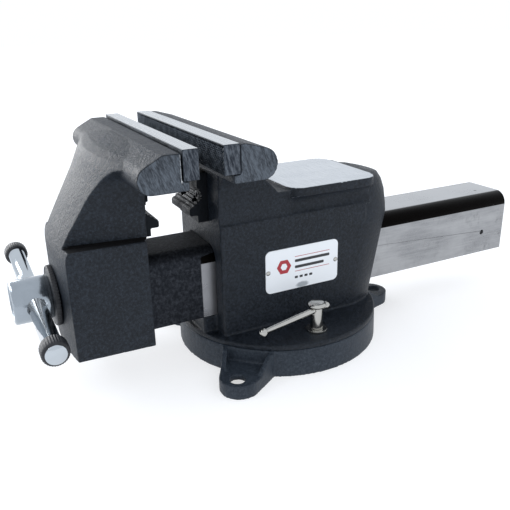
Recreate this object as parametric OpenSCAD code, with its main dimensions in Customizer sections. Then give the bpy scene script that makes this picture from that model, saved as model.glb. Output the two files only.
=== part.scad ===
// Bench vise with a swivel base, a square slide bar, pipe jaws and an anvil.
// Units are millimetres. +Z is up, the slide runs along Y and opens toward -Y.
// The origin is the centre of the underside of the swivel base.

/* [Jaws] */
// Width of the jaws
jaw_w = 200; // [120:1:250]
// Height of the top of the jaw inserts
jaw_top = 206.1; // [180:0.1:230]
// Height of the moving jaw's insert
front_insert_h = 21.8; // [15:0.1:25]
// Height of the fixed jaw's insert
rear_insert_h = 21.8; // [15:0.1:25]
// Thickness of the moving jaw's insert
front_insert_t = 11.6; // [8:0.1:16]
// Thickness of the fixed jaw's insert
rear_insert_t = 12.65; // [8:0.05:16]
// Gap between the inserts as drawn
jaw_gap = 18.3; // [1:0.1:60]

/* [Slide] */
// Width of the slide bar
bar_w = 62.4; // [50:0.1:80]
// Height of the slide bar
bar_h = 62.5; // [50:0.1:80]
// Height of the underside of the slide bar
bar_z = 44.3; // [40:0.1:60]
// Radius of the slide bar's top edges
bar_r = 12.7; // [4:0.1:18]
// Rear end of the slide bar
bar_end = 264.7; // [200:0.1:320]
// Height of the spindle axis
spindle_z = 80; // [74:0.5:84]
// Radius of the spindle's thread
thread_r = 14; // [10:0.5:16]

/* [Handle] */
// Radius of the handle
handle_r = 7; // [5:0.5:9]
// Distance from the spindle to the handle's near end
handle_near = 93.9; // [60:0.1:150]
// Distance from the spindle to the handle's far end
handle_far = 111.7; // [60:0.1:150]
// Tilt of the handle as drawn, in degrees
handle_tilt = 2.7; // [0:0.1:90]

/* [Swivel base] */
// Radius of the swivel base
base_r = 94.6; // [80:0.1:120]
// Height of the swivel base
base_h = 24.5; // [18:0.1:35]
// Radius of the bolt holes' circle
lug_hole_at = 121.5; // [110:0.5:140]
// Radius of the bolt holes
lug_hole_r = 6.5; // [4:0.5:9]
// Angle from the slide to each front lug, in degrees
lug_spread = 44; // [30:1:60]
// Turn of the base under the body as drawn, in degrees
base_turn = 2; // [-90:1:90]

/* [Locks] */
// Distance from the swivel axis to each lock screw
lock_at = 73; // [68:0.5:75]
// Angle of the lock bars outward from the slide, in degrees
lock_angle = 14.4; // [0:0.1:90]
// Length of a lock bar between its knobs
lock_bar_l = 73.8; // [50:0.1:90]

/* [Hidden] */
$fn = 64;
eps = 0.01;
fit = 0.05; // running clearance, each side

// heights
table_top = 29.2; // top of the body's round foot
ridge_z = 128.5; // where the lower casting steps in
head_z = 177.4; // underside of both jaw heads
front_seat_z = jaw_top - front_insert_h; // underside of the inserts
rear_seat_z = jaw_top - rear_insert_h;
rear_top = 205.5; // top of the fixed jaw casting
front_top = 204; // top of the moving jaw casting
anvil_top = 151.5;
anvil_t = 8;
floor_z = bar_z - 0.1; // slide floor inside the body

// positions along the slide
rear_seat = -81.65; // seat of the fixed insert
rear_face = rear_seat - rear_insert_t; // clamping face of the fixed jaw
front_face = rear_face - jaw_gap; // clamping face of the moving jaw
front_seat = front_face - front_insert_t;
body_front = -76;
front_ledge = 4; // how far each head reaches under its insert
rear_ledge = 5.6;
throat_front = -136; // throat face of the moving jaw
block_rear = -138; // rear of the moving jaw's lower block
nose = -204; // front of the moving jaw at the spindle
wall_in = -188; // inner face of the moving jaw's front wall
sweep_y = 60; // centre of the moving jaw's curved front
head_at = -221; // handle's axis
spindle_front = -238.5;
spindle_end = 172;
collar_t = 4.5;
retainer_t = 12;

// sections
body_x = 46; // half-width of the body
foot_y = 50.9; // centre of its round rear end at the foot
rear_y = 69.6; // and at the top
rear_lean = 11.3;
upper_x = 44; // half-width above the ridge
front_nose_r = 10.4; // rounded back of each jaw head
front_nose_y = -146.4;
rear_nose_r = 12;
rear_nose_y = -64;
pillar_x = 42; // half-width of the moving jaw's pillar at the throat
pillar_taper = 8.3; // its sides close in toward the front by this angle
anvil_x = 48.2;
anvil_front = -9.5;
anvil_rear = 81;
anvil_r = 14;
channel_x = 21; // half-width of the slide bar's channel
channel_top = 99;
journal_r = 15;
head_r = 18;
collar_r = 25;
retainer_r = 18;
handle_gap = 1; // round the handle in its hole
head_t = 0.8; // thickness of the handle's headed ends
ring_r = 10;
ring_l = 13;

// swivel and locks
table_r = 94.3;
groove_in = 67;
groove_out = 79;
groove_z = 15.5; // underside of the groove's lips
undercut_in = 61;
undercut_out = 85;
undercut_z = 5.5;
pivot_r = 10;
pivot_foot = 8; // bottom of the pivot bolt, in the base
pivot_seat = 31.5; // seat of its washer, in the body
lock_r = 4;
hub_r = 5.4;
hub_top = 55.5;
lock_bar_r = 2.6;
lock_bar_z = 49;
lock_bar_out = 62.3; // long side of the bar, from the screw
knob_r = 3.5;

// small parts
pin_r = 3;
pin_x = 60;
pin_z = 196;
pipe_x = 22; // half-width of a pipe jaw
pipe_z = 144; // height of the front one's screws
rear_pipe_up = 4.5; // how much higher the rear one sits
pipe_screw_x = 13;
pipe_screw_r = 2.5;
nut_y0 = -52;
nut_y1 = -8;
nut_bolt_y = -30;
plate_y = 1.4;
plate_z = 79.7;
plate_w = 74;
plate_h = 39.4;
plate_t = 0.8;
rivet_y = 34.6;
rivet_r = 1.4;

paint = [0.13, 0.14, 0.16];
steel = [0.72, 0.73, 0.74];
dark_steel = [0.3, 0.31, 0.33];
chrome = [0.88, 0.89, 0.9];
black = [0.06, 0.06, 0.06];
white = [0.93, 0.93, 0.93];

// ---- helpers ----

// draws along +Y from y, on the height z; a 2D shape's x stays X and its y points down
module along_y(y, z) {
    translate([0, y, z]) rotate([-90, 0, 0]) children();
}

// extrudes an XZ outline along Y from y0 to y1
module extrude_y(y0, y1) {
    translate([0, y1, 0]) rotate([90, 0, 0]) linear_extrude(y1 - y0) children();
}

// extrudes a YZ outline along X over -x..x
module extrude_x(x) {
    translate([-x, 0, 0]) rotate([90, 0, 90]) linear_extrude(2 * x) children();
}

module both() {
    children();
    mirror([1, 0, 0]) children();
}

// a box from one corner to the other
module span(a, b) {
    translate(a) cube(b - a);
}

// the slide bar's outer section, grown by g
module bar_section(g) {
    x = bar_w / 2 + g;
    z0 = bar_z - g;
    z1 = bar_z + bar_h + g;
    r = bar_r + g;
    union() {
        translate([-x, z0]) square([2 * x, z1 - r - z0]);
        translate([-x + r, z1 - r - eps]) square([2 * (x - r), r + eps]);
        translate([-x + r, z1 - r]) circle(r);
        translate([x - r, z1 - r]) circle(r);
    }
}

// profile of a pipe jaw: depth from the throat face, height
pipe_profile = [[0, 123], [0, 165], [7, 165], [9, 162.5], [9, 152.5],
    [7, 151.4], [7.4, 150], [5.6, 149], [6.2, 147.4], [5, 146.2], [6, 144.6],
    [5, 143.2], [7.4, 142.4], [7.2, 141], [9.8, 140.6], [9.9, 139],
    [12.6, 138.7], [12.9, 137], [15.6, 136.2], [16.6, 134.4],
    [16.6, 130.6], [15.4, 129.4], [9.3, 129.4], [9.3, 123]];

// ---- swivel base ----

module lug() {
    tip = 116.5;
    tip_r = 17;
    side = 13;
    thick = 12;
    wall = 4.5;
    union() {
        difference() {
            union() {
                linear_extrude(thick) polygon([[70, 24], [88, 24],
                    [tip + tip_r * sin(side), tip_r * cos(side)],
                    [tip + tip_r * sin(side), -tip_r * cos(side)],
                    [88, -24], [70, -24]]);
                translate([tip, 0, 0]) cylinder(r = tip_r, h = thick);
            }
            translate([0, 0, -1]) linear_extrude(8) polygon([[100, 14],
                [tip, 12], [tip, -12], [100, -14]]);
            translate([tip, 0, -1]) cylinder(r = 12, h = 8);
            translate([lug_hole_at, 0, -1]) cylinder(r = lug_hole_r, h = thick + 2);
        }
        for (s = [1, -1])
            translate([88, s * 23.8, 0]) rotate([0, 0, -s * side])
                translate([0, s > 0 ? 0 : wall, 0]) rotate([90, 0, 0])
                    linear_extrude(wall) polygon([[0, 6], [0, 23], [8.5, 23],
                        [26, thick + 0.3], [26, 6]]);
    }
}

module swivel_base() {
    color(paint) difference() {
        union() {
            rotate_extrude() polygon([[0, 0], [base_r + 0.4, 0],
                [base_r - 0.2, base_h - 0.8], [base_r - 1, base_h], [0, base_h]]);
            for (a = [-90 + lug_spread, -90 - lug_spread, 90])
                rotate([0, 0, a + base_turn]) lug();
        }
        rotate_extrude() polygon([[groove_in, base_h + 1], [groove_in, groove_z],
            [undercut_in, groove_z], [undercut_in, undercut_z],
            [undercut_out, undercut_z], [undercut_out, groove_z],
            [groove_out, groove_z], [groove_out, base_h + 1]]);
        // where the slot nuts are dropped in
        translate([0, lock_at, undercut_z]) cylinder(r = 11.8, h = base_h);
        translate([0, 0, pivot_foot - 2]) cylinder(r = pivot_r, h = base_h);
        // relief in the underside
        rotate_extrude() polygon([[34, -1], [34, 9], [54, 9], [54, -1]]);
    }
}

// ---- body with the fixed jaw and the anvil ----

module body_lower() {
    intersection() {
        extrude_x(body_x) polygon([[body_front, base_h + 1], [foot_y, base_h + 1],
            [rear_y - 0.7, 112], [rear_y - 0.7, ridge_z], [body_front, ridge_z]]);
        translate([0, 0, base_h]) linear_extrude(ridge_z) union() {
            translate([-body_x, body_front + 2]) square([2 * body_x, 190]);
            translate([-body_x + 2, body_front]) square([2 * body_x - 4, 20]);
            both() translate([body_x - 2, body_front + 2]) circle(2);
        }
    }
}

module body_upper() {
    // jaw pillar and the slope behind it
    extrude_x(upper_x) polygon([[body_front, ridge_z - 1], [body_front, 181],
        [-60, 181], [-50, head_z], [-42, 170.5], [-33, 162.6], [-25, 154.6],
        [-21, 149.8], [-8, 149.4], [-8, ridge_z - 1]]);
    // waist under the anvil face
    extrude_y(-12, 74) difference() {
        translate([-anvil_x + 1, ridge_z - 1])
            square([2 * anvil_x - 2, anvil_top - anvil_t - ridge_z + 1.5]);
        both() translate([upper_x + 7.4, 135.6]) circle(9.4);
        both() translate([body_x - 0.6, ridge_z - 2]) square([9, 8]);
    }
    // anvil face
    translate([0, 0, anvil_top - anvil_t]) linear_extrude(anvil_t) union() {
        translate([-anvil_x, anvil_front + anvil_r])
            square([2 * anvil_x, anvil_rear - anvil_front - 2 * anvil_r]);
        translate([-anvil_x + anvil_r, anvil_front])
            square([2 * (anvil_x - anvil_r), anvil_rear - anvil_front + 2]);
        both() for (y = [anvil_front + anvil_r, anvil_rear - anvil_r])
            translate([anvil_x - anvil_r, y]) circle(anvil_r);
    }
}

// the round rear end leans back to a domed top
module rear_end() {
    intersection() {
        translate([0, foot_y, base_h + 1]) rotate([-rear_lean, 0, 0])
            cylinder(r = body_x, h = 130);
        translate([0, rear_y, 0]) rotate_extrude() polygon([[0, base_h + 1],
            [70, base_h + 1], [70, 96], [47.2, 102], [45.4, 111], [44.7, 119.5],
            [42.9, 132.4], [39.9, 141.7], [36, 147.6], [31, 150], [0, 150]]);
    }
}

module rear_head() {
    nose_z = head_z + rear_nose_r;
    extrude_x(jaw_w / 2) polygon(concat(
        [[rear_seat - rear_ledge, rear_seat_z], [rear_seat - rear_ledge, head_z]],
        [for (a = [-90 : 9 : 72])
            [rear_nose_y + rear_nose_r * cos(a), nose_z + rear_nose_r * sin(a)]],
        [[-75, rear_top - 0.4], [-78, rear_top], [rear_seat, rear_top],
         [rear_seat, rear_seat_z]]));
    // webs under the head
    extrude_y(body_front + 1, -62) difference() {
        translate([-72, 150]) square([144, head_z - 149]);
        both() translate([72, 150]) circle(28);
    }
}

module body() {
    color(paint) difference() {
        union() {
            translate([0, 0, base_h]) rotate_extrude() polygon([[0, 0],
                [table_r, 0], [table_r, table_top - base_h - 1],
                [table_r - 1, table_top - base_h], [0, table_top - base_h]]);
            body_lower();
            body_upper();
            rear_end();
            rear_head();
            // saddle under the slide bar
            span([-31, -89, base_h + 1], [31, body_front + 1, floor_z]);
        }
        extrude_y(-100, 120) bar_section(0.1);
        both() translate([lock_at, 0, 20]) cylinder(r = lock_r + 0.2, h = 20);
        // seat of the spindle nut's bolt
        translate([0, nut_bolt_y, 20]) cylinder(r = 6.2, h = 30);
        translate([0, nut_bolt_y, 20]) cylinder(r = 10.5, h = 13);
        translate([0, 0, 20]) cylinder(r = pivot_r + fit, h = 30);
        translate([0, 0, pivot_seat]) cylinder(r = 17, h = 20);
        for (x = [-pin_x, pin_x])
            translate([x, 0, 0]) along_y(rear_seat - 1, pin_z) cylinder(r = pin_r, h = 11);
        for (x = [-pipe_screw_x, pipe_screw_x])
            translate([x, 0, 0]) along_y(body_front - 1, pipe_z + rear_pipe_up)
                cylinder(r = pipe_screw_r, h = 17);
        for (s = [-1, 1])
            translate([body_x - 5, plate_y + s * rivet_y, plate_z])
                rotate([0, 90, 0]) cylinder(r = rivet_r, h = 10);
    }
}

// ---- moving jaw ----

// radius about the sweep's centre and height of the curved front, from the bottom up
front_profile = [[150, 38], [sweep_y - nose, 38], [sweep_y - nose, 119],
    [263.4, 123.5], [261.6, ridge_z], [258, 136], [244.3, 160], [234.9, 176],
    [230.9, 184], [229, 188], [225.2, 193.4], [218.6, 197.2], [209, 200.6],
    [201, 203.2], [150, 203.2]];

// one side of the pillar at the throat, spreading under the head
pillar_side = [[pillar_x, ridge_z - 1], [42.6, 140], [44.2, 152], [44.9, 162],
    [46, 168], [48.6, 175], [51.1, 179], [55.2, 183], [61.4, 187.2], [72, 190],
    [80, 191.5], [80, 215]];

// a frame on the throat face whose y runs along the pillar's side
module at_pillar() {
    translate([0, throat_front, 0]) rotate([0, 0, -pillar_taper]) children();
}

// everything inside one side of the pillar
module beside_pillar() {
    at_pillar() extrude_y(-90, 30)
        polygon(concat([[-110, ridge_z - 1]], pillar_side, [[-110, 215]]));
}

module pillar() {
    intersection() {
        translate([0, sweep_y, 0]) rotate_extrude() polygon(front_profile);
        beside_pillar();
        mirror([1, 0, 0]) beside_pillar();
        span([-90, -215, ridge_z - 2], [90, front_seat - 0.5, front_top + 1]);
    }
}

// the lower block narrows toward the front
module jaw_block() {
    intersection() {
        translate([0, sweep_y, 0]) rotate_extrude() polygon(front_profile);
        translate([0, 0, 38]) linear_extrude(ridge_z - 38) polygon([[-45, -215],
            [45, -215], [45, -204], [48, block_rear], [-48, block_rear], [-45, -204]]);
    }
}

module front_head() {
    nose_z = head_z + front_nose_r;
    extrude_x(jaw_w / 2) polygon(concat(
        [[front_seat, front_top], [-137.8, front_top]],
        [for (a = [114 : 12 : 270])
            [front_nose_y + front_nose_r * cos(a), nose_z + front_nose_r * sin(a)]],
        [[front_seat + front_ledge, head_z], [front_seat + front_ledge, front_seat_z],
         [front_seat, front_seat_z]]));
}

module moving_jaw() {
    color(paint) difference() {
        union() {
            // the pillar ends at the throat below the head
            difference() {
                pillar();
                span([-90, throat_front, ridge_z - 2], [90, -100, head_z - 6]);
                span([-90, block_rear, ridge_z - 2], [90, -100, ridge_z]);
                extrude_x(90) polygon([[throat_front, head_z - 7],
                    [throat_front, head_z - 6], [throat_front + 6, head_z],
                    [-100, head_z], [-100, head_z - 7]]);
            }
            jaw_block();
            front_head();
        }
        // groove over the block
        both() at_pillar()
            span([pillar_x - 1.4, -80, ridge_z], [pillar_x + 20, 20, ridge_z + 1.8]);
        extrude_y(wall_in, -120) bar_section(fit);
        along_y(-215, spindle_z) cylinder(r = journal_r + fit, h = 40);
        // relief round the insert's seat
        difference() {
            span([-110, front_seat - 1, front_seat_z + 0.4], [110, front_seat + 1, 210]);
            span([-jaw_w / 2 + 4, front_seat - 2, front_seat_z - 1],
                [jaw_w / 2 - 4, front_seat + 2, front_top - 5]);
        }
        for (x = [-pin_x, pin_x])
            translate([x, 0, 0]) along_y(front_seat - 10, pin_z) cylinder(r = pin_r, h = 11);
        for (x = [-pipe_screw_x, pipe_screw_x])
            translate([x, 0, 0]) along_y(throat_front - 16, pipe_z)
                cylinder(r = pipe_screw_r, h = 17);
    }
}

module slide_bar() {
    color(steel) difference() {
        extrude_y(wall_in, bar_end) bar_section(0);
        extrude_y(wall_in - 1, bar_end + 1) union() {
            translate([-channel_x, bar_z - 1]) square([2 * channel_x, channel_top - bar_z - 5]);
            translate([-channel_x + 6, bar_z - 1]) square([2 * channel_x - 12, channel_top - bar_z + 1]);
            both() translate([channel_x - 6, channel_top - 6]) circle(6);
        }
        // stop pin hole near the rear end
        translate([0, 234.8, 66.8]) rotate([0, 90, 0]) cylinder(r = 2.4, h = 100, center = true);
    }
}

// ---- jaw inserts and pipe jaws ----

module front_insert() {
    color(steel) difference() {
        span([-jaw_w / 2, front_seat, front_seat_z], [jaw_w / 2, front_face, jaw_top]);
        for (x = [-pin_x, pin_x])
            translate([x, 0, 0]) along_y(front_seat - 1, pin_z) cylinder(r = pin_r, h = 7);
    }
}

module rear_insert() {
    color(steel) difference() {
        span([-jaw_w / 2, rear_face, rear_seat_z], [jaw_w / 2, rear_seat, jaw_top]);
        for (x = [-pin_x, pin_x])
            translate([x, 0, 0]) along_y(rear_seat - 6, pin_z) cylinder(r = pin_r, h = 7);
    }
}

module front_insert_pins() {
    color(steel) for (x = [-pin_x, pin_x])
        translate([x, 0, 0]) along_y(front_seat - 10, pin_z) cylinder(r = pin_r, h = 15.5);
}

module rear_insert_pins() {
    color(steel) for (x = [-pin_x, pin_x])
        translate([x, 0, 0]) along_y(rear_seat - 5.5, pin_z) cylinder(r = pin_r, h = 15.5);
}

module front_pipe_jaw() {
    color(dark_steel) difference() {
        extrude_x(pipe_x) translate([throat_front, 0]) polygon(pipe_profile);
        for (x = [-pipe_screw_x, pipe_screw_x])
            translate([x, 0, 0]) along_y(throat_front - 1, pipe_z)
                cylinder(r = pipe_screw_r + 0.2, h = 20);
        for (x = [-pipe_screw_x, pipe_screw_x])
            translate([x, 0, 0]) along_y(throat_front + 2.5, pipe_z)
                cylinder(r = 4.8, h = 20);
    }
}

module rear_pipe_jaw() {
    color(dark_steel) translate([0, 0, rear_pipe_up]) difference() {
        extrude_x(pipe_x) translate([body_front, 0]) mirror([1, 0]) polygon(pipe_profile);
        for (x = [-pipe_screw_x, pipe_screw_x])
            translate([x, 0, 0]) along_y(body_front - 19, pipe_z)
                cylinder(r = pipe_screw_r + 0.2, h = 20);
        for (x = [-pipe_screw_x, pipe_screw_x])
            translate([x, 0, 0]) along_y(body_front - 22.5, pipe_z)
                cylinder(r = 4.8, h = 20);
    }
}

// a socket screw along +Y, with its head's seat at y = 0
module pipe_screw() {
    difference() {
        union() {
            cylinder(r = pipe_screw_r, h = 17.5);
            translate([0, 0, -3.5]) cylinder(r = 4.5, h = 3.5);
        }
        translate([0, 0, -4]) cylinder(r = 2.3, h = 2.5, $fn = 6);
    }
}

module front_pipe_jaw_screws() {
    color(dark_steel) for (x = [-pipe_screw_x, pipe_screw_x])
        translate([x, throat_front + 2.5, pipe_z]) rotate([90, 0, 0]) pipe_screw();
}

module rear_pipe_jaw_screws() {
    color(dark_steel) for (x = [-pipe_screw_x, pipe_screw_x])
        translate([x, body_front - 2.5, pipe_z + rear_pipe_up]) rotate([-90, 0, 0])
            pipe_screw();
}

// ---- spindle ----

module spindle() {
    color(chrome) difference() {
        along_y(0, spindle_z) rotate_extrude() polygon([[0, spindle_front],
            [head_r - 2, spindle_front], [head_r, spindle_front + 2],
            [head_r, nose - collar_t - 1], [head_r - 1, nose - collar_t],
            [journal_r, nose - collar_t], [journal_r, wall_in + 0.1],
            [thread_r, wall_in + 0.1], [thread_r, spindle_end - 2],
            [thread_r - 2, spindle_end], [0, spindle_end]]);
        translate([0, head_at, spindle_z]) rotate([0, 90 + handle_tilt, 0])
            cylinder(r = handle_r + handle_gap, h = 60, center = true);
        translate([0, wall_in + 6, spindle_z]) rotate([0, 90, 0])
            cylinder(r = 2.5, h = 60, center = true);
    }
}

module thrust_collar() {
    color(black) along_y(nose - collar_t + fit, spindle_z) rotate_extrude()
        polygon([[journal_r + fit, 0], [collar_r - 1, 0], [collar_r, 1],
            [collar_r, collar_t - fit], [journal_r + fit, collar_t - fit]]);
}

module spindle_retainer() {
    color(steel) difference() {
        along_y(wall_in + 0.1, spindle_z) rotate_extrude()
            polygon([[thread_r, 0], [retainer_r - 1, 0], [retainer_r, 1],
                [retainer_r, retainer_t - 1], [retainer_r - 1, retainer_t],
                [thread_r, retainer_t]]);
        translate([0, wall_in + 6, spindle_z]) rotate([0, 90, 0])
            cylinder(r = 2.5, h = 60, center = true);
    }
}

module retainer_pin() {
    color(steel) translate([0, wall_in + 6, spindle_z]) rotate([0, 90, 0])
        cylinder(r = 2.5, h = 2 * retainer_r - 1.2, center = true);
}

module spindle_nut() {
    color(dark_steel) difference() {
        extrude_y(nut_y0, nut_y1) polygon([[-20, floor_z], [20, floor_z],
            [20, 86], [12, 98], [-12, 98], [-20, 86]]);
        along_y(nut_y0 - 1, spindle_z) cylinder(r = thread_r + 0.08, h = 60);
        translate([0, nut_bolt_y, floor_z - 1]) cylinder(r = 6, h = 17);
    }
}

module spindle_nut_bolt() {
    color(dark_steel) translate([0, nut_bolt_y, 0]) difference() {
        union() {
            translate([0, 0, base_h + 0.5]) cylinder(r = 9, h = 33 - base_h - 0.5);
            translate([0, 0, 32]) cylinder(r = 6, h = 27);
        }
        translate([0, 0, base_h]) cylinder(r = 5.2, h = 4.5, $fn = 6);
    }
}

// ---- handle ----

// local z runs along the handle, toward its near end
module on_handle() {
    translate([0, head_at, spindle_z]) rotate([0, 90 + handle_tilt, 0]) children();
}

module handle_bar() {
    head = handle_r + 0.7; // each end is headed over its ring
    color(chrome) on_handle() rotate_extrude() polygon([[0, -handle_far],
        [head - 0.5, -handle_far], [head, -handle_far + 0.5],
        [head, -handle_far + head_t], [handle_r, -handle_far + head_t],
        [handle_r, handle_near - head_t], [head, handle_near - head_t],
        [head, handle_near - 0.5], [head - 0.5, handle_near], [0, handle_near]]);
}

module handle_rings() {
    color(black) on_handle() for (z = [-handle_far + head_t, handle_near - head_t - ring_l])
        translate([0, 0, z]) rotate_extrude() polygon([[handle_r, 0],
            [ring_r - 1.5, 0], [ring_r, 1.5], [ring_r, ring_l - 1.5],
            [ring_r - 1.5, ring_l], [handle_r, ring_l]]);
}

// ---- swivel locks ----

// places a lock part at the right or left screw, with local x along the bar
module at_lock(side) {
    translate([side * lock_at, 0, 0]) rotate([0, 0, -90 + side * lock_angle]) children();
}

module lock_screw() {
    difference() {
        rotate_extrude() polygon([[0, undercut_z + 2], [lock_r - 1, undercut_z + 2],
            [lock_r, undercut_z + 3], [lock_r, table_top + 2],
            [hub_r + 0.2, table_top + 2], [hub_r, table_top + 6], [hub_r - 0.2, 51.8],
            [hub_r + 2.3, 52.4], [hub_r + 2.8, 53.4], [hub_r + 2.2, hub_top - 0.8],
            [hub_r + 0.8, hub_top], [0, hub_top]]);
        translate([0, 0, lock_bar_z]) rotate([0, 90, 0])
            cylinder(r = lock_bar_r + 0.08, h = 30, center = true);
    }
}

module lock_bar() {
    translate([lock_bar_out - lock_bar_l, 0, lock_bar_z]) rotate([0, 90, 0]) union() {
        cylinder(r = lock_bar_r, h = lock_bar_l);
        for (z = [0, lock_bar_l]) translate([0, 0, z]) sphere(knob_r);
    }
}

module lock_screw_right() { color(chrome) at_lock(1) lock_screw(); }
module lock_screw_left() { color(chrome) at_lock(-1) lock_screw(); }
module lock_bar_right() { color(chrome) at_lock(1) lock_bar(); }
module lock_bar_left() { color(chrome) at_lock(-1) lock_bar(); }

module lock_washers() {
    color(chrome) both() translate([lock_at, 0, table_top]) difference() {
        cylinder(r = 9.4, h = 2);
        translate([0, 0, -1]) cylinder(r = lock_r + 0.2, h = 4);
    }
}

module lock_slot_nuts() {
    color(dark_steel) both() difference() {
        rotate([0, 0, -8]) rotate_extrude(angle = 16) polygon([
            [undercut_in + 0.5, undercut_z + 1], [undercut_out - 0.5, undercut_z + 1],
            [undercut_out - 0.5, groove_z - 0.1], [groove_out - 0.2, groove_z - 0.1],
            [groove_out - 0.2, base_h - 0.4], [groove_in + 0.2, base_h - 0.4],
            [groove_in + 0.2, groove_z - 0.1], [undercut_in + 0.5, groove_z - 0.1]]);
        translate([lock_at, 0, undercut_z - 1]) cylinder(r = lock_r + fit, h = 30);
    }
}

// ---- pivot ----

module pivot_bolt() {
    seat = pivot_seat + 2.5;
    color(dark_steel) difference() {
        union() {
            translate([0, 0, pivot_foot]) cylinder(r = pivot_r, h = seat - pivot_foot + 1);
            translate([0, 0, seat]) cylinder(r = 15, h = floor_z - seat - 0.3);
        }
        translate([0, 0, floor_z - 7]) cylinder(r = 7.5, h = 10, $fn = 6);
    }
}

module pivot_washer() {
    color(dark_steel) translate([0, 0, pivot_seat]) difference() {
        cylinder(r = 16.5, h = 2.5);
        translate([0, 0, -1]) cylinder(r = pivot_r, h = 5);
    }
}

// ---- nameplate ----

module nameplate() {
    r = 5;
    color(white) translate([body_x, plate_y, plate_z]) rotate([90, 0, 90])
        difference() {
            linear_extrude(plate_t) union() {
                square([plate_w - 2 * r, plate_h], center = true);
                square([plate_w, plate_h - 2 * r], center = true);
                both() for (s = [-1, 1])
                    translate([plate_w / 2 - r, s * (plate_h / 2 - r)]) circle(r);
            }
            for (s = [-1, 1])
                translate([s * rivet_y, 0, -1]) cylinder(r = rivet_r, h = 4);
        }
}

module nameplate_rivets() {
    color(steel) for (s = [-1, 1])
        translate([body_x - 4.5, plate_y + s * rivet_y, plate_z]) rotate([0, 90, 0])
            rotate_extrude() polygon([[0, 0], [rivet_r, 0], [rivet_r, 4.5 + plate_t],
                [2.1, 4.5 + plate_t], [2.1, 5.5], [1.4, 6], [0, 6.1]]);
}

swivel_base();
body();
slide_bar();
moving_jaw();
front_insert();
rear_insert();
front_insert_pins();
rear_insert_pins();
front_pipe_jaw();
rear_pipe_jaw();
front_pipe_jaw_screws();
rear_pipe_jaw_screws();
spindle();
thrust_collar();
spindle_retainer();
retainer_pin();
spindle_nut();
spindle_nut_bolt();
handle_bar();
handle_rings();
lock_screw_right();
lock_screw_left();
lock_bar_right();
lock_bar_left();
lock_washers();
lock_slot_nuts();
pivot_bolt();
pivot_washer();
nameplate();
nameplate_rivets();
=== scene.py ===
import math

import bmesh
import bpy
from mathutils import Matrix, Vector


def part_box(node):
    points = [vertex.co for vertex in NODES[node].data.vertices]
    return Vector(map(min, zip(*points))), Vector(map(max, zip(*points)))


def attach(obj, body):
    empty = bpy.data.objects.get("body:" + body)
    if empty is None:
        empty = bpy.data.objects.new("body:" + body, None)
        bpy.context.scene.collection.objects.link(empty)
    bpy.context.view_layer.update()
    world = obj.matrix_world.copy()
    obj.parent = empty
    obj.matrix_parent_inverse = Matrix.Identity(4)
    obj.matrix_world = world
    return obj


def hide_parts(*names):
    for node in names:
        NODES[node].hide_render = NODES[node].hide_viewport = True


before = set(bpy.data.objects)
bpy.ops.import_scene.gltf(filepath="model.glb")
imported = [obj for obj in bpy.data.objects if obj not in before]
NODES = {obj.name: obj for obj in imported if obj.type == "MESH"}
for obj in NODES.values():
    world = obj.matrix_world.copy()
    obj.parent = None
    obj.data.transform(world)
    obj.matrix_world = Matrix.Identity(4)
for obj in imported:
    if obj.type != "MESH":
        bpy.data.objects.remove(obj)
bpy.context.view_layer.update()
MM = 0.001


# ---------------------------------------------------------------- materials

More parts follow.
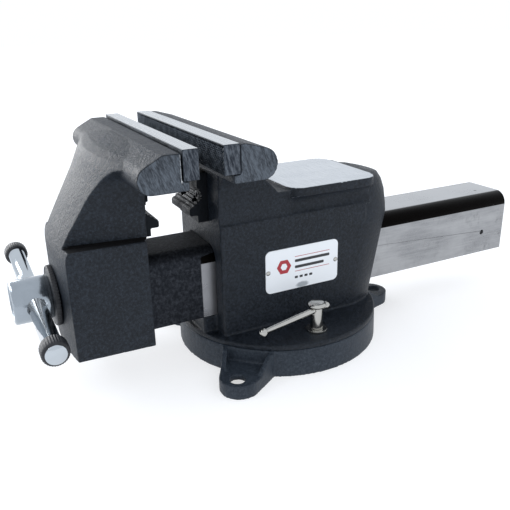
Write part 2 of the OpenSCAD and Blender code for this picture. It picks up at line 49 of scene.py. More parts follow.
class Shader:
    """A principled material and short calls for building its node tree."""

    def __init__(self, name, **sockets):
        self.mat = bpy.data.materials.new(name)
        self.mat.use_nodes = True
        self.tree = self.mat.node_tree
        self.tree.nodes.clear()
        self.bsdf = self.node("ShaderNodeBsdfPrincipled")
        out = self.node("ShaderNodeOutputMaterial")
        self.tree.links.new(self.bsdf.outputs[0], out.inputs[0])
        coords = self.node("ShaderNodeTexCoord")
        self.at = coords.outputs["Object"]
        self.facing = coords.outputs["Normal"]
        split = self.node("ShaderNodeSeparateXYZ", Vector=self.at)
        self.x, self.y, self.z = split.outputs
        self.set(**sockets)

    def node(self, kind, props=None, **inputs):
        made = self.tree.nodes.new(kind)
        for key, value in (props or {}).items():
            setattr(made, key, value)
        for key, value in inputs.items():
            self.plug(made.inputs[key.replace("_", " ")], value)
        return made

    def plug(self, socket, value):
        if isinstance(value, bpy.types.NodeSocket):
            self.tree.links.new(value, socket)
        elif socket.type == "RGBA" and len(value) == 3:
            socket.default_value = (*value, 1)
        else:
            socket.default_value = value

    def set(self, **sockets):
        for key, value in sockets.items():
            self.plug(self.bsdf.inputs[key.replace("_", " ")], value)

    def math(self, operation, a, b=0.0):
        made = self.node("ShaderNodeMath", {"operation": operation})
        self.plug(made.inputs[0], a)
        self.plug(made.inputs[1], b)
        return made.outputs[0]

    def mul(self, a, b):
        return self.math("MULTIPLY", a, b)

    def add(self, a, b):
        return self.math("ADD", a, b)

    def inside(self, value, low, high, soft=0.3 * MM):
        """1 where value lies between low and high, with soft edges."""
        above_low = self.ramp(value, low - soft, low + soft)
        return self.mul(above_low, self.ramp(value, high + soft, high - soft))

    def ramp(self, value, low, high, to_low=0.0, to_high=1.0):
        made = self.node("ShaderNodeMapRange", {"interpolation_type": "SMOOTHSTEP"})
        for k, v in enumerate((value, low, high, to_low, to_high)):
            self.plug(made.inputs[k], v)
        return made.outputs[0]

    def noise(self, scale, detail=4.0, rough=0.55, stretch=None, seed=0.0, lean=0.0):
        """Noise with features of about 1/scale metres.

        stretch scales each axis, lean turns it about X, in degrees."""
        at = self.at
        if lean:
            at = self.node("ShaderNodeMapping", Vector=at, Rotation=(math.radians(lean), 0, 0)).outputs[0]
        if stretch or seed:
            shift = (seed, seed * 0.7, seed * 1.3)
            at = self.node("ShaderNodeMapping", Vector=at, Scale=stretch or (1, 1, 1), Location=shift).outputs[0]
        made = self.node("ShaderNodeTexNoise", Vector=at, Scale=scale, Detail=detail, Roughness=rough)
        return made.outputs["Fac"]

    def cells(self, scale):
        return self.node("ShaderNodeTexVoronoi", Vector=self.at, Scale=scale).outputs["Distance"]

    def distance(self, a, b):
        made = self.node("ShaderNodeVectorMath", {"operation": "DISTANCE"})
        self.plug(made.inputs[0], a)
        self.plug(made.inputs[1], b)
        return made.outputs["Value"]

    def mix(self, factor, a, b):
        made = self.node("ShaderNodeMix", {"data_type": "RGBA"})
        self.plug(made.inputs[0], factor)
        self.plug(made.inputs[6], a)
        self.plug(made.inputs[7], b)
        return made.outputs[2]

    def blend(self, factor, a, b):
        """Numbers instead of colours."""
        made = self.node("ShaderNodeMix", {"data_type": "FLOAT"})
        self.plug(made.inputs[0], factor)
        self.plug(made.inputs[2], a)
        self.plug(made.inputs[3], b)
        return made.outputs[0]

    def turn(self, factor, a, b):
        """Directions instead of colours."""
        made = self.node("ShaderNodeMix", {"data_type": "VECTOR"})
        self.plug(made.inputs[0], factor)
        self.plug(made.inputs[4], a)
        self.plug(made.inputs[5], b)
        return made.outputs[1]

    def bump(self, height, distance, under=None, strength=1.0):
        made = self.node("ShaderNodeBump", Height=height, Distance=distance, Strength=strength)
        if under is not None:
            self.plug(made.inputs["Normal"], under)
        return made.outputs[0]

    def edges(self, radius):
        """1 near convex or concave edges, 0 on open surface."""
        round_ = self.node("ShaderNodeBevel", {"samples": 6}, Radius=radius).outputs[0]
        true = self.node("ShaderNodeNewGeometry").outputs["Normal"]
        dot = self.node("ShaderNodeVectorMath", {"operation": "DOT_PRODUCT"})
        self.plug(dot.inputs[0], round_)
        self.plug(dot.inputs[1], true)
        return self.ramp(dot.outputs["Value"], 0.999, 0.9)


def casting_grain(s, coarse=1.0):
    """The normal of a painted cast surface, with its two grains."""
    lumps = s.noise(95, 3, 0.5)
    grain = s.noise(430, 5, 0.62)
    fine = s.noise(1250, 3, 0.6)
    pits = s.ramp(s.cells(520), 0.0, 0.35)
    height = s.add(s.mul(grain, 0.75), s.add(s.mul(fine, 0.25), s.mul(pits, 0.1)))
    normal = s.bump(lumps, 1.0 * MM * coarse, strength=0.7)
    return s.bump(height, 0.9 * MM * coarse, normal), grain, fine


def casting(name, dark, light, steel_mask=None, ends=None, edge_wear_and_highlight=1.0, coarse=1.0):
    """Blue-black paint over cast iron; the masks show ground steel and flat ground ends. Edges are lighter:
    partly chipped paint, partly painted highlight.
    """
    s = Shader(name, Specular_IOR_Level=0.2)
    normal, grain, fine = casting_grain(s, coarse)
    patches = s.noise(26, 4, 0.6, seed=3.1)
    speckle = s.add(s.mul(grain, 0.55), s.add(s.mul(fine, 0.35), s.mul(patches, 0.2)))
    colour = s.mix(s.ramp(speckle, 0.44, 0.68), dark, light)
    dust = s.ramp(s.mul(grain, fine), 0.29, 0.42)
    colour = s.mix(s.mul(dust, 0.4), colour, tuple(1.8 * c for c in light))
    rough = s.ramp(speckle, 0.4, 0.7, 0.36, 0.56)
    # Lighter grey on edges, concave ones too: partly chipped paint, partly a painted highlight along the edges.
    chips = s.ramp(s.noise(300, 4, 0.7, seed=1.7), 0.44, 0.62)
    rubbed_and_highlit_edge = s.mul(s.edges(1.2 * MM), chips)
    colour = s.mix(s.mul(rubbed_and_highlit_edge, 0.7 * edge_wear_and_highlight), colour, (0.13, 0.14, 0.155))
    metal = 0.0
    if ends is not None:
        mask, look, end_rough, end_normal = ends(s)
        colour = s.mix(mask, colour, look)
        rough = s.blend(mask, rough, end_rough)
        normal = s.turn(mask, normal, end_normal)
    if steel_mask is not None:
        mask, look, steel_rough, steel_normal = steel_mask(s)
        colour = s.mix(mask, colour, look)
        rough = s.blend(mask, rough, steel_rough)
        metal = mask
        normal = s.turn(mask, normal, steel_normal)
    s.set(Base_Color=colour, Roughness=rough, Normal=normal, Metallic=metal)
    return s.mat


def up(s):
    """1 where the surface faces up, -1 where it faces down."""
    return s.node("ShaderNodeSeparateXYZ", Vector=s.facing).outputs[2]


def side(s):
    """1 where the surface faces either side."""
    return s.math("ABSOLUTE", s.node("ShaderNodeSeparateXYZ", Vector=s.facing).outputs[0])


def jaw_end(s):
    """The flat end faces of the jaw heads, with leaning streaks from rough grinding and a painted highlight
    along the edge by the insert.
    """
    mask = s.mul(s.ramp(s.math("ABSOLUTE", s.x), 99.2 * MM, 99.8 * MM), s.ramp(side(s), 0.85, 0.97))
    saw = s.noise(95, 5, 0.7, stretch=(1, 4.5, 0.9), seed=2.2, lean=-17)
    scratch = s.noise(330, 4, 0.75, stretch=(1, 3.6, 0.8), seed=5.0, lean=-26)
    streaks = s.add(s.mul(saw, 0.6), s.mul(scratch, 0.5))
    look = s.mix(s.ramp(streaks, 0.42, 0.68), (0.022, 0.027, 0.035), (0.105, 0.125, 0.150))
    # A bright strip on the end face beside the insert's gap: a painted highlight along that edge.
    patch_mask = s.mul(s.inside(s.y, -126.2 * MM, -125.2 * MM, 0.15 * MM), s.ramp(s.z, 183 * MM, 185 * MM))
    look = s.mix(s.mul(patch_mask, s.ramp(s.noise(280, 4, 0.7), 0.36, 0.52)), look, (0.62, 0.64, 0.66))
    return mask, look, 0.5, s.bump(streaks, 0.6 * MM)


def jaw_marks(s):
    """The moving jaw's ends and near-black painted shade in the groove over its lower block."""
    mask, look, rough, normal = jaw_end(s)
    # Near-black painted shade in the groove over the lower block, where the groove's shadow falls.
    painted_groove_shade = s.inside(s.z, 128.3 * MM, 130.6 * MM, 0.25 * MM)
    painted_groove_shade = s.mul(painted_groove_shade, s.ramp(s.math("ABSOLUTE", s.x), 30 * MM, 34 * MM))
    painted_groove_shade = s.mul(painted_groove_shade, s.ramp(s.y, -203 * MM, -199 * MM))
    look = s.mix(painted_groove_shade, look, (0.0015, 0.0015, 0.002))
    return s.math("MAXIMUM", mask, painted_groove_shade), look, s.blend(painted_groove_shade, rough, 0.95), normal


def anvil_face(s):
    """The ground top of the anvil, chipped along its edge."""
    chips = s.ramp(s.noise(330, 4, 0.7, seed=4.4), 0.55, 0.75)
    level = s.ramp(s.add(s.z, s.mul(chips, 1.3 * MM)), 151.2 * MM, 151.45 * MM)
    zone = s.mul(s.inside(s.y, -12 * MM, 81.2 * MM), s.ramp(s.math("ABSOLUTE", s.x), 49 * MM, 48.5 * MM))
    fine = s.noise(60, 4, 0.6, stretch=(1, 14, 1))
    look = s.mix(s.ramp(fine, 0.3, 0.75), (0.46, 0.495, 0.53), (0.58, 0.61, 0.64))
    rough = s.ramp(s.noise(14, 3, 0.5, stretch=(3, 1, 1), seed=2), 0.3, 0.7, 0.16, 0.3)
    return s.mul(level, zone), look, rough, s.bump(fine, 0.03 * MM)


# the slide bar's section, in mm
BAR_HALF, BAR_ROUND, BAR_TOP = 31.2, 12.7, 106.8


def bar_steel():
    """The slide bar: black on its rounded edges, painted in front, ground elsewhere; painted shade further back
    on top and on the underside.
    """
    s = Shader("slide_bar_steel", Metallic=1.0)
    reach = BAR_HALF - BAR_ROUND
    corner = s.mul(
        s.ramp(s.math("ABSOLUTE", s.x), (reach + 0.4) * MM, (reach + 2.4) * MM),
        s.ramp(s.z, (BAR_TOP - 12.9) * MM, (BAR_TOP - 12.5) * MM),
    )
    ragged = s.mul(s.add(s.noise(120, 5, 0.6, stretch=(1, 1, 0.5)), -0.5), 2.2 * MM)
    top = s.ramp(up(s), 0.4, 0.8)
    # On the top face the paint mask reaches about 26 mm further back: that stretch is painted shade where the
    # body shades the bar.
    front = s.ramp(s.add(s.add(s.y, ragged), s.mul(top, -26 * MM)), -88.3 * MM, -89.3 * MM)
    # The underside and lower edge are painted near black: painted shade and painted dark reflection.
    under = s.ramp(s.z, 44.9 * MM, 44.5 * MM)
    nick = s.mul(s.inside(s.y, -136.2 * MM, -134.9 * MM), s.inside(s.z, 83 * MM, 91.5 * MM, 1.0 * MM))
    nick = s.mul(nick, s.ramp(s.noise(500, 3, 0.6), 0.3, 0.5))
    lines = s.noise(30, 5, 0.65, stretch=(8, 1, 22))
    wipe = s.noise(26, 5, 0.62, stretch=(1, 0.8, 2.2), seed=5.5)
    smudge = s.ramp(s.noise(60, 5, 0.68, stretch=(1, 1.6, 0.9), seed=8.0), 0.52, 0.78)
    rear = s.ramp(s.y, 175 * MM, 262 * MM)
    steel = s.mix(s.ramp(wipe, 0.3, 0.72), (0.24, 0.245, 0.255), (0.36, 0.365, 0.375))
    steel = s.mix(s.mul(s.ramp(lines, 0.35, 0.8), 0.35), steel, (0.47, 0.475, 0.48))
    steel = s.mix(s.mul(smudge, s.ramp(rear, 0, 1, 0.25, 0.75)), steel, (0.12, 0.12, 0.125))
    top_steel = s.mix(s.ramp(wipe, 0.3, 0.7), (0.38, 0.39, 0.40), (0.48, 0.49, 0.50))
    steel = s.mix(s.ramp(top, 0.9, 1.0), steel, top_steel)
    bare = s.inside(s.y, -89.5 * MM, -75 * MM, 0.8 * MM)
    steel = s.mix(bare, steel, (0.25, 0.255, 0.27))
    pit = s.distance(s.at, (9.6 * MM, 241.6 * MM, BAR_TOP * MM))
    steel = s.mix(s.ramp(pit, 2.0 * MM, 0.9 * MM), steel, (0.03, 0.03, 0.03))
    rolled, grain, _ = casting_grain(s, 0.5)
    paint = s.mix(s.ramp(grain, 0.35, 0.75), (0.014, 0.016, 0.020), (0.042, 0.046, 0.055))
    paint = s.mix(nick, paint, (0.5, 0.5, 0.5))
    # Near black on the rounded edges, the bar's own black, and on the underside as painted shade.
    steel = s.mix(s.math("MAXIMUM", corner, under), steel, (0.003, 0.0026, 0.0024))
    colour = s.mix(front, steel, paint)
    smooth = s.bump(s.add(lines, s.mul(wipe, 0.7)), 0.06 * MM)
    s.set(
        Base_Color=colour,
        Roughness=s.blend(front, s.ramp(wipe, 0.3, 0.8, 0.24, 0.42), s.blend(top, 0.45, 0.75)),
        Normal=s.turn(front, smooth, rolled),
    )
    return s.mat


def plain_metal(name, base, rough, scale=900, depth=0.02, metallic=1.0, spread=0.12):
    """Metal or gloss paint with faint handling marks."""
    s = Shader(name, Metallic=metallic)
    marks = s.noise(scale, 4, 0.6)
    haze = s.noise(55, 4, 0.6, seed=2.5)
    low, high = tuple(c * (1 - spread) for c in base), base
    s.set(
        Base_Color=s.mix(s.ramp(haze, 0.3, 0.7), low, high),
        Roughness=s.ramp(haze, 0.3, 0.75, rough * 0.75, rough * 1.5),
        Normal=s.bump(marks, depth * MM),
    )
    return s.mat


def insert_steel():
    """Ground on top; dark on the serrated face, the back and the bottom; sawn ends with dark and grey streaks.
    """
    s = Shader("insert_steel", Metallic=1.0)
    lines = s.noise(36, 5, 0.65, stretch=(1, 26, 26))
    top = s.ramp(up(s), 0.8, 0.95)
    ends = s.ramp(side(s), 0.8, 0.95)
    saw = s.noise(150, 5, 0.72, stretch=(1, 3.5, 0.8), seed=1.1, lean=-12)
    dark_mottle = s.noise(140, 5, 0.65)
    bright = s.mix(s.ramp(lines, 0.3, 0.75), (0.44, 0.46, 0.475), (0.58, 0.60, 0.615))
    dark = s.mix(s.ramp(dark_mottle, 0.35, 0.75), (0.018, 0.023, 0.030), (0.075, 0.088, 0.105))
    end = s.mix(s.ramp(saw, 0.38, 0.68), (0.028, 0.033, 0.042), (0.13, 0.148, 0.172))
    colour = s.mix(top, s.mix(ends, dark, end), bright)
    s.set(
        Base_Color=colour,
        Roughness=s.blend(top, s.ramp(dark_mottle, 0.3, 0.8, 0.4, 0.6), s.ramp(lines, 0.3, 0.8, 0.22, 0.34)),
        Normal=s.bump(s.blend(top, saw, lines), 0.06 * MM),
    )
    return s.mat


def enamel():
    """White enamel with a grey smudge by the lower edge."""
    s = Shader("plate_enamel", Specular_IOR_Level=0.5, Coat_Weight=0.3, Coat_Roughness=0.12)
    squash = 0.42
    flat = s.node("ShaderNodeMapping", Vector=s.at, Scale=(0, squash, 1)).outputs[0]
    spot = s.distance(flat, (0, squash * 1.2 * MM, 62.6 * MM))
    patch_mask = s.ramp(s.add(spot, s.mul(s.noise(700, 4, 0.7), 1.6 * MM)), 4.2 * MM, 2.6 * MM)
    scuffs = s.ramp(s.noise(260, 5, 0.7, seed=3.3), 0.6, 0.8)
    base = s.mix(s.mul(scuffs, 0.22), (0.80, 0.835, 0.87), (0.62, 0.66, 0.70))
    s.set(
        Base_Color=s.mix(s.mul(patch_mask, 0.8), base, (0.22, 0.25, 0.28)),
        Roughness=s.ramp(scuffs, 0, 1, 0.24, 0.45),
        Normal=s.bump(s.noise(420, 3, 0.5), 0.02 * MM),
    )
    return s.mat


def rubbery(name):
    """Dull black rubber or plastic."""
    s = Shader(name, Specular_IOR_Level=0.4)
    dust = s.noise(700, 5, 0.65)
    haze = s.noise(120, 4, 0.6, seed=1.5)
    s.set(
        Base_Color=s.mix(s.ramp(haze, 0.35, 0.7), (0.008, 0.009, 0.012), (0.020, 0.022, 0.026)),
        Roughness=s.ramp(dust, 0.3, 0.7, 0.34, 0.55),
        Normal=s.bump(dust, 0.08 * MM),
    )
    return s.mat


BODY_PAINT = casting("body_paint", (0.0045, 0.0070, 0.0105), (0.0185, 0.0240, 0.0330), anvil_face, jaw_end)
JAW_PAINT = casting("jaw_paint", (0.0060, 0.0085, 0.0125), (0.0210, 0.0275, 0.0375), None, jaw_marks)
BASE_PAINT = casting("base_paint", (0.0160, 0.0225, 0.0320), (0.0360, 0.0460, 0.0600), coarse=0.55, edge_wear_and_highlight=0.7)
CHROME = plain_metal("chrome", (0.48, 0.52, 0.555), 0.07, spread=0.06)
SATIN = plain_metal("satin_chrome", (0.33, 0.37, 0.41), 0.17, 1400, 0.02, spread=0.1)
NICKEL = plain_metal("nickel", (0.47, 0.465, 0.44), 0.15, spread=0.1)
BLACK_OXIDE = plain_metal("black_oxide", (0.075, 0.076, 0.08), 0.42, 600, 0.08)
IRON = plain_metal("pipe_jaw_iron", (0.014, 0.016, 0.019), 0.5, 420, 0.35)
SCREW_STEEL = plain_metal("screw_steel", (0.42, 0.42, 0.42), 0.28, 700, 0.06)
RUBBER = rubbery("black_rubber")
COLLAR = rubbery("collar_black")
INSERT = insert_steel()
BAR = bar_steel()
ENAMEL = enamel()


# ---------------------------------------------------------------- CAD nodes

def clad(node, material):
    """Gives a CAD node its material and drops its stored normals."""
    o = NODES[node]
    o.data.materials.clear()
    o.data.materials.append(material)
    normals = o.data.attributes.get("custom_normal")
    if normals is not None:
        o.data.attributes.remove(normals)
    weld = o.modifiers.new("weld", "WELD")
    weld.merge_threshold = 0.002 * MM
    return o


def machined(node, material, bevel=0.0, angle=32):
    """A machined node: crisp, with small rounded corners where a width is given."""
    o = clad(node, material)
    o.data.shade_smooth()
    o.data.set_sharp_from_angle(angle=math.radians(angle))
    if bevel:
        m = o.modifiers.new("bevel", "BEVEL")
        m.width = bevel * MM
        m.segments = 2
        m.limit_method = "ANGLE"
        m.angle_limit = math.radians(angle)
        m.harden_normals = True


def cast(node, material, grid, keep):
    """A casting: the node's surface drawn again on a fine grid, which rounds every corner."""
    o = clad(node, material)
    again = o.modifiers.new("again", "REMESH")
    again.mode = "VOXEL"
    again.voxel_size = grid * MM
    again.use_smooth_shade = True
    soft = o.modifiers.new("soft", "SMOOTH")
    soft.factor = 0.5
    soft.iterations = 2
    lean = o.modifiers.new("lean", "DECIMATE")
    lean.ratio = keep


for node, paint in (("body", BODY_PAINT), ("moving_jaw", JAW_PAINT), ("swivel_base", BASE_PAINT)):
    cast(node, paint, 0.9, 0.16)
for node in ("front_pipe_jaw", "rear_pipe_jaw"):
    cast(node, IRON, 0.4, 0.25)
machined("slide_bar", BAR, 0.35)
machined("handle_bar", CHROME)
for node in ("lock_screw_right", "lock_screw_left", "lock_bar_right", "lock_bar_left"):
    machined(node, NICKEL)
machined("lock_washers", NICKEL, 0.2)
machined("nameplate", ENAMEL, 0.15)
machined("nameplate_rivets", NICKEL)
for node in (
    "front_insert_pins", "rear_insert_pins", "front_pipe_jaw_screws", "rear_pipe_jaw_screws",
    "spindle_retainer", "retainer_pin", "spindle_nut", "spindle_nut_bolt", "lock_slot_nuts",
    "pivot_bolt", "pivot_washer",
):
    machined(node, BLACK_OXIDE)


# ---------------------------------------------------------------- new pieces

def mesh_object(name, verts, faces, material, smooth=None):
    """An object from points and faces; smooth is the angle in degrees up to which it shades round."""
    data = bpy.data.meshes.new(name)
    data.from_pydata([tuple(v) for v in verts], [], faces)
    b = bmesh.new()
    b.from_mesh(data)
    bmesh.ops.remove_doubles(b, verts=b.verts, dist=0.001 * MM)
    bmesh.ops.dissolve_degenerate(b, edges=b.edges, dist=0.001 * MM)
    bmesh.ops.recalc_face_normals(b, faces=b.faces)
    b.to_mesh(data)
    b.free()
    data.materials.append(material)
    if smooth is not None:
        data.shade_smooth()
        data.set_sharp_from_angle(angle=math.radians(smooth))
    o = bpy.data.objects.new(name, data)
    bpy.context.scene.collection.objects.link(o)
    return o


def lathe(profile, ring, turns):
    """Vertices and faces of a closed profile of (distance along, radius) turned round an axis.

    ring(along, radius, step) places a point, for step 0..turns-1."""
    verts, faces, rows = [], [], len(profile)
    for k in range(turns):
        for along, radius in profile:
            verts.append(ring(along, radius, k))
    for k in range(turns):
        n = (k + 1) % turns
        for j in range(rows - 1):
            faces.append((k * rows + j, k * rows + j + 1, n * rows + j + 1, n * rows + j))
    return verts, faces


def about(centre, direction, up_hint=(0, 0, 1)):
    """A matrix whose z runs along direction from centre."""
    z = Vector(direction).normalized()
    x = Vector(up_hint).cross(z).normalized()
    y = z.cross(x)
    return Matrix.Translation(centre) @ Matrix((x, y, z)).transposed().to_4x4()


def turned(name, profile, axis, turns, material, wave=None, smooth=40):
    """A turned piece. wave(along, radius, step) may change the radius, as for ribs."""

    def ring(along, radius, k):
        a = 2 * math.pi * k / turns
        r = wave(along, radius, k) if wave else radius
        return axis @ Vector((r * math.cos(a), r * math.sin(a), along))

    verts, faces = lathe(profile, ring, turns)
    return mesh_object(name, verts, faces, material, smooth)


# spindle: a head with a cross hole, a journal and the screw
low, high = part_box("spindle")
AXIS_Z = (low.z + high.z) / 2
HEAD_R = (high.z - low.z) / 2
spindle_axis = about((0, 0, AXIS_Z), (0, 1, 0))
front, back = low.y, high.y
collar_low, collar_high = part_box("thrust_collar")
retainer_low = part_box("spindle_retainer")[0]
HANDLE_LOW, HANDLE_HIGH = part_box("handle_bar")
head_back = collar_low.y - 0.05 * MM
JOURNAL_R = 15 * MM
THREAD_R, ROOT_R, PITCH = 14 * MM, 11 * MM, 6 * MM

head = turned(
    "spindle_head",
    [
        (front + 1.3 * MM, 0.0), (front + 1.3 * MM, HEAD_R - 4.6 * MM), (front + 0.6 * MM, HEAD_R - 4.1 * MM),
        (front, HEAD_R - 3.6 * MM), (front, HEAD_R - 1.9 * MM), (front + 0.5 * MM, HEAD_R - 0.9 * MM),
        (front + 1.2 * MM, HEAD_R - 0.25 * MM), (front + 2.0 * MM, HEAD_R), (head_back - 0.8 * MM, HEAD_R),
        (head_back - 0.2 * MM, HEAD_R - 0.4 * MM), (head_back, HEAD_R - 1.0 * MM), (head_back, JOURNAL_R),
        (retainer_low.y, JOURNAL_R), (retainer_low.y, 0.0),
    ],
    spindle_axis, 96, SATIN,
)
HANDLE_TILT = math.radians(2.7)
HANDLE_HOLE_R = 8 * MM
DRILL_REACH = 0.05
handle_dir = Vector((math.cos(HANDLE_TILT), 0, -math.sin(HANDLE_TILT)))
handle_mid = Vector((0, (HANDLE_LOW.y + HANDLE_HIGH.y) / 2, AXIS_Z))
drill = turned(
    "drill",
    [(-DRILL_REACH, 0.0), (-DRILL_REACH, HANDLE_HOLE_R), (DRILL_REACH, HANDLE_HOLE_R), (DRILL_REACH, 0.0)],
    about(handle_mid, handle_dir), 64, SATIN, smooth=None,
)
cut = head.modifiers.new("hole", "BOOLEAN")
cut.object = drill
cut.solver = "EXACT"
bpy.context.view_layer.update()
cut_mesh = bpy.data.meshes.new_from_object(head.evaluated_get(bpy.context.evaluated_depsgraph_get()))
head.modifiers.clear()
head.data = cut_mesh
cut_mesh.shade_smooth()
cut_mesh.set_sharp_from_angle(angle=math.radians(34))
bpy.data.objects.remove(drill)


def screw_thread(name, y0, y1, material):
    """A trapezoidal right-hand thread whose rows follow the helix, cut off square at both ends."""
    phases = ((0.0, ROOT_R), (2.1 * MM, ROOT_R), (2.95 * MM, THREAD_R), (5.15 * MM, THREAD_R))
    steps = 48
    rows = []
    for turn in range(int((y1 - y0) / PITCH) + 4):
        for offset, radius in phases:
            rows.append((y0 - 2 * PITCH + turn * PITCH + offset, radius))
    verts, faces = [], []
    for k in range(steps + 1):
        a = 2 * math.pi * k / steps
        for y, radius in rows:
            along = y - PITCH * k / steps
            if along < y0 or along > y1:
                radius = ROOT_R
            along = min(max(along, y0), y1)
            verts.append((radius * math.cos(a), along, AXIS_Z + radius * math.sin(a)))
    n = len(rows)
    for k in range(steps):
        for j in range(n - 1):
            faces.append((k * n + j, k * n + j + 1, (k + 1) * n + j + 1, (k + 1) * n + j))
    # both end discs
    for y in (y0, y1):
        centre = len(verts)
        verts.append((0, y, AXIS_Z))
        for k in range(steps):
            a, b = 2 * math.pi * k / steps, 2 * math.pi * (k + 1) / steps
            first = len(verts)
            verts.append((ROOT_R * math.cos(a), y, AXIS_Z + ROOT_R * math.sin(a)))
            verts.append((ROOT_R * math.cos(b), y, AXIS_Z + ROOT_R * math.sin(b)))
            faces.append((centre, first, first + 1))
    return mesh_object(name, verts, faces, material, 30)


thread = screw_thread("spindle_thread", retainer_low.y + 0.1 * MM, back, SCREW_STEEL)
for piece in (head, thread):
    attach(piece, "screw")
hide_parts("spindle")

# collar with a ribbed rim
COLLAR_R = (collar_high.z - collar_low.z) / 2
RIBS = 60


def collar_ribs(along, radius, k):
    if radius < COLLAR_R - 0.2 * MM:
        return radius
    return radius - (0.0, 0.28, 0.55, 0.28)[k % 4] * MM


cl, ch = collar_low.y, collar_high.y
collar = turned(
    "thrust_collar_ribbed",
    [
        (cl, JOURNAL_R + 0.1 * MM), (cl, COLLAR_R - 3.4 * MM), (cl + 0.5 * MM, COLLAR_R - 2.9 * MM),
        (cl + 0.5 * MM, COLLAR_R - 2.0 * MM), (cl, COLLAR_R - 1.5 * MM), (cl, COLLAR_R - 1.1 * MM),
        (cl + 0.5 * MM, COLLAR_R - 0.4 * MM), (cl + 1.0 * MM, COLLAR_R), (ch - 0.7 * MM, COLLAR_R),
        (ch - 0.2 * MM, COLLAR_R - 0.4 * MM), (ch, COLLAR_R - 0.9 * MM), (ch, JOURNAL_R + 0.1 * MM),
        (cl, JOURNAL_R + 0.1 * MM),
    ],
    spindle_axis, RIBS * 4, COLLAR, collar_ribs, 50,
)
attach(collar, "jaw")
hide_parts("thrust_collar")

# handle rings with lengthwise ribs
RING_R, RING_IN, RING_L = 10 * MM, 7.02 * MM, 13 * MM


def ring_ribs(along, radius, k):
    if radius < RING_R - 0.9 * MM:
        return radius
    return radius - (0.0, 0.0, 0.15, 0.3, 0.3, 0.15)[k % 6] * MM


handle_axis = about(handle_mid, handle_dir)
HEAD_T = 0.8 * MM
HANDLE_NEAR, HANDLE_FAR = 93.9 * MM, 111.7 * MM
for label, start in (("near", HANDLE_NEAR - HEAD_T - RING_L), ("far", -HANDLE_FAR + HEAD_T)):
    end = start + RING_L
    ring_piece = turned(
        f"handle_ring_{label}",
        [
            (start, RING_IN), (start, RING_R - 2.2 * MM), (start + 0.35 * MM, RING_R - 1.2 * MM),
            (start + 1.1 * MM, RING_R - 0.35 * MM), (start + 2.0 * MM, RING_R),
            (end - 2.0 * MM, RING_R), (end - 1.1 * MM, RING_R - 0.35 * MM),
            (end - 0.35 * MM, RING_R - 1.2 * MM), (end, RING_R - 2.2 * MM),
            (end, RING_IN), (start, RING_IN),
        ],
        handle_axis, 32 * 6, RUBBER, ring_ribs, 45,
    )
    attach(ring_piece, "handle")
    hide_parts("handle_rings")


# jaw inserts with cross-cut serrations
def insert(name, node, face_high_y, body):
    """The insert's box with small chamfers and a face of pyramids between grooves at 45 degrees."""
    lo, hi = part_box(node)
    face, rear = (hi.y, lo.y) if face_high_y else (lo.y, hi.y)
    out = 1 if face_high_y else -1
    c = 0.4 * MM
    x0, x1, z0, z1 = lo.x + c, hi.x - c, lo.z + c, hi.z - c
    nx = 2 * round((x1 - x0) / (2 * 1.414 * MM))
    nz = 2 * round((z1 - z0) / (2 * 1.414 * MM))
    verts, faces = [], []

    def put(x, y, z):
        verts.append((x, y, z))
        return len(verts) - 1

    grid = {}
    for i in range(nx + 1):
        for j in range(nz + 1):
            rim = i in (0, nx) or j in (0, nz)
            depth = 0.0 if rim or (i + j) % 2 else 0.62 * MM
            grid[i, j] = put(x0 + (x1 - x0) * i / nx, face - out * depth, z0 + (z1 - z0) * j / nz)
    for i in range(nx):
        for j in range(nz):
            a, b, d, e = grid[i, j], grid[i + 1, j], grid[i + 1, j + 1], grid[i, j + 1]
            if (i + j) % 2:
                faces += [(a, b, e), (b, d, e)]
            else:
                faces += [(a, b, d), (a, d, e)]
    # rim of the face, out to the box's edges, set back by the chamfer
    sides = {
        "low": [grid[i, 0] for i in range(nx + 1)], "high": [grid[i, nz] for i in range(nx + 1)],
        "left": [grid[0, j] for j in range(nz + 1)], "right": [grid[nx, j] for j in range(nz + 1)],
    }
    set_back = face - out * c
    corner = {
        (a, b): [put(xa, set_back, zb), put(x, set_back, zc)]
        for (a, xa, x) in ((0, x0, lo.x), (1, x1, hi.x))
        for (b, zb, zc) in ((0, lo.z, z0), (1, hi.z, z1))
    }
    end = rear + out * c
    corner_rear = {
        (a, b): [put(xa, end, zb), put(x, end, zc), put(xa, rear, zc)]
        for (a, xa, x) in ((0, x0, lo.x), (1, x1, hi.x))
        for (b, zb, zc) in ((0, lo.z, z0), (1, hi.z, z1))
    }
    for b, row in ((0, sides["low"]), (1, sides["high"])):
        faces.append((*row, corner[1, b][0], corner[0, b][0]))
    for a, row in ((0, sides["left"]), (1, sides["right"])):
        faces.append((*row, corner[a, 1][1], corner[a, 0][1]))
    for a in (0, 1):
        for b in (0, 1):
            rim = grid[nx * a, nz * b]
            faces.append((rim, corner[a, b][0], corner[a, b][1]))
            faces.append((corner[a, b][0], corner_rear[a, b][0], corner_rear[a, b][1], corner[a, b][1]))
            faces.append(tuple(corner_rear[a, b]))
    for b in (0, 1):
        faces.append((corner[0, b][0], corner[1, b][0], corner_rear[1, b][0], corner_rear[0, b][0]))
        faces.append((corner_rear[0, b][0], corner_rear[1, b][0], corner_rear[1, b][2], corner_rear[0, b][2]))
    for a in (0, 1):
        faces.append((corner[a, 0][1], corner[a, 1][1], corner_rear[a, 1][1], corner_rear[a, 0][1]))
        faces.append((corner_rear[a, 0][1], corner_rear[a, 1][1], corner_rear[a, 1][2], corner_rear[a, 0][2]))
    faces.append(tuple(corner_rear[k][2] for k in ((0, 0), (1, 0), (1, 1), (0, 1))))
    o = mesh_object(name, verts, faces, INSERT)
    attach(o, body)
    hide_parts(node)
    return o


insert("front_insert_serrated", "front_insert", True, "jaw")
insert("rear_insert_serrated", "rear_insert", False, "vise_body")


# printing on the nameplate: a hexagon nut, plain rules and dashes
plate_low, plate_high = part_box("nameplate")
PLATE = Vector((plate_high.x, (plate_low.y + plate_high.y) / 2, (plate_low.z + plate_high.z) / 2))


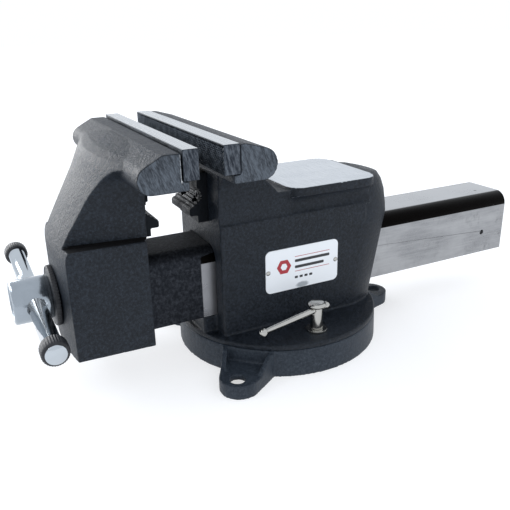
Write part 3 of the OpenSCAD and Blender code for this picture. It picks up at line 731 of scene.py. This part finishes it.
def print_shape(name, outline, material, hole=None):
    """A flat printed shape 0.06 mm high.

    outline and hole are points (along, up) in mm from the plate's centre."""
    verts, faces = [], []
    for x in (-0.02 * MM, 0.06 * MM):
        for loop in (outline, hole) if hole else (outline,):
            verts += [(PLATE.x + x, PLATE.y + a * MM, PLATE.z + b * MM) for a, b in loop]
    n, half = len(outline), len(verts) // 2
    for start in range(0, half, n):
        for k in range(n):
            m = start + (k + 1) % n
            faces.append((start + k, m, half + m, half + start + k))
    if hole:
        for k in range(n):
            m = (k + 1) % n
            faces.append((k, m, n + m, n + k))
            faces.append((half + k, half + m, half + n + m, half + n + k))
    else:
        faces += [tuple(range(n)), tuple(range(half, half + n))]
    o = mesh_object(name, verts, faces, material)
    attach(o, "vise_body")
    return o


def rounded(w, h, r, at):
    """Outline of a rectangle round at, with corners of radius r."""
    points = []
    steps = 6
    for q, (sx, sy) in enumerate(((1, 1), (-1, 1), (-1, -1), (1, -1))):
        for k in range(steps + 1):
            a = math.radians(90 * (q + k / steps))
            x = at[0] + sx * (w / 2 - r) + r * math.cos(a)
            points.append((x, at[1] + sy * (h / 2 - r) + r * math.sin(a)))
    return points


def hexagon(r, at):
    corners = (math.radians(60 * k) for k in range(6))
    return [(at[0] + r * math.cos(a), at[1] + r * math.sin(a)) for a in corners]


RED_INK = plain_metal("red_ink", (0.42, 0.022, 0.035), 0.35, 900, 0.01, 0.0, 0.2)
BLACK_INK = plain_metal("black_ink", (0.018, 0.020, 0.024), 0.35, 900, 0.01, 0.0, 0.2)
NUT_AT = (-19, 3.0)
RULES = ((36, 2.6, 6.6), (30, 2.6, 0.8), (36, 0.5, 10.6), (36, 0.5, -3.2))
print_shape("plate_nut_mark", hexagon(7.2, NUT_AT), RED_INK, hexagon(3.4, NUT_AT))
for k, (length, height, level) in enumerate(RULES):
    ink = BLACK_INK if k < 2 else RED_INK
    print_shape(f"plate_rule_{k}", rounded(length, height, height * 0.3, (-8 + length / 2, level)), ink)
for k, along in enumerate((-6.5, -1.5, 3.5, 8.5)):
    print_shape(f"plate_dash_{k}", rounded(3.2, 2.2, 0.4, (along, -9.0)), BLACK_INK)


# ---------------------------------------------------------------- floor, light, camera

floor_data = bpy.data.meshes.new("floor")
floor_data.from_pydata([(-9, -9, 0), (9, -9, 0), (9, 9, 0), (-9, 9, 0)], [], [(0, 1, 2, 3)])
floor = bpy.data.objects.new("floor", floor_data)
bpy.context.scene.collection.objects.link(floor)
pale = Shader(
    "floor_pale", Roughness=0.8, Specular_IOR_Level=0.1, Emission_Color=(1, 1, 1), Emission_Strength=0.62,
)
pale.set(Base_Color=pale.mix(pale.noise(3, 2), (0.43, 0.445, 0.47), (0.45, 0.465, 0.49)))
floor_data.materials.append(pale.mat)

world = bpy.data.worlds.new("studio")
world.use_nodes = True
world.node_tree.nodes["Background"].inputs["Color"].default_value = (1.0, 1.035, 1.09, 1)
world.node_tree.nodes["Background"].inputs["Strength"].default_value = 1.0
bpy.context.scene.world = world


def softbox(name, at, target, size, power):
    data = bpy.data.lights.new(name, "AREA")
    data.shape = "RECTANGLE"
    data.size, data.size_y = size
    data.energy = power
    o = bpy.data.objects.new(name, data)
    o.location = at
    o.rotation_mode = "QUATERNION"
    o.rotation_quaternion = (Vector(target) - Vector(at)).to_track_quat("-Z", "Y")
    bpy.context.scene.collection.objects.link(o)


softbox("key", (-0.7, -1.5, 1.6), (0, -0.05, 0.08), (1.0, 0.8), 14)
softbox("side", (-1.9, -1.15, 0.62), (0, -0.1, 0.14), (2.2, 1.0), 30)

AZIMUTH, ELEVATION, ROLL = (math.radians(a) for a in (63.43, 20.85, -1.29))
forward = -Vector((
    math.sin(AZIMUTH) * math.cos(ELEVATION), -math.cos(AZIMUTH) * math.cos(ELEVATION), math.sin(ELEVATION),
))
right = forward.cross(Vector((0, 0, 1))).normalized()
above = right.cross(forward)
right, above = (
    right * math.cos(ROLL) + above * math.sin(ROLL),
    above * math.cos(ROLL) - right * math.sin(ROLL),
)
camera_data = bpy.data.cameras.new("camera")
camera_data.sensor_width = 36
camera_data.lens = 43.68
camera = bpy.data.objects.new("camera", camera_data)
place = Matrix((right, above, -forward)).transposed().to_4x4()
place.translation = (0.4839, -0.2643, 0.2855)
camera.matrix_world = place
bpy.context.scene.collection.objects.link(camera)
bpy.context.scene.camera = camera
bpy.context.scene.view_settings.view_transform = "Standard"
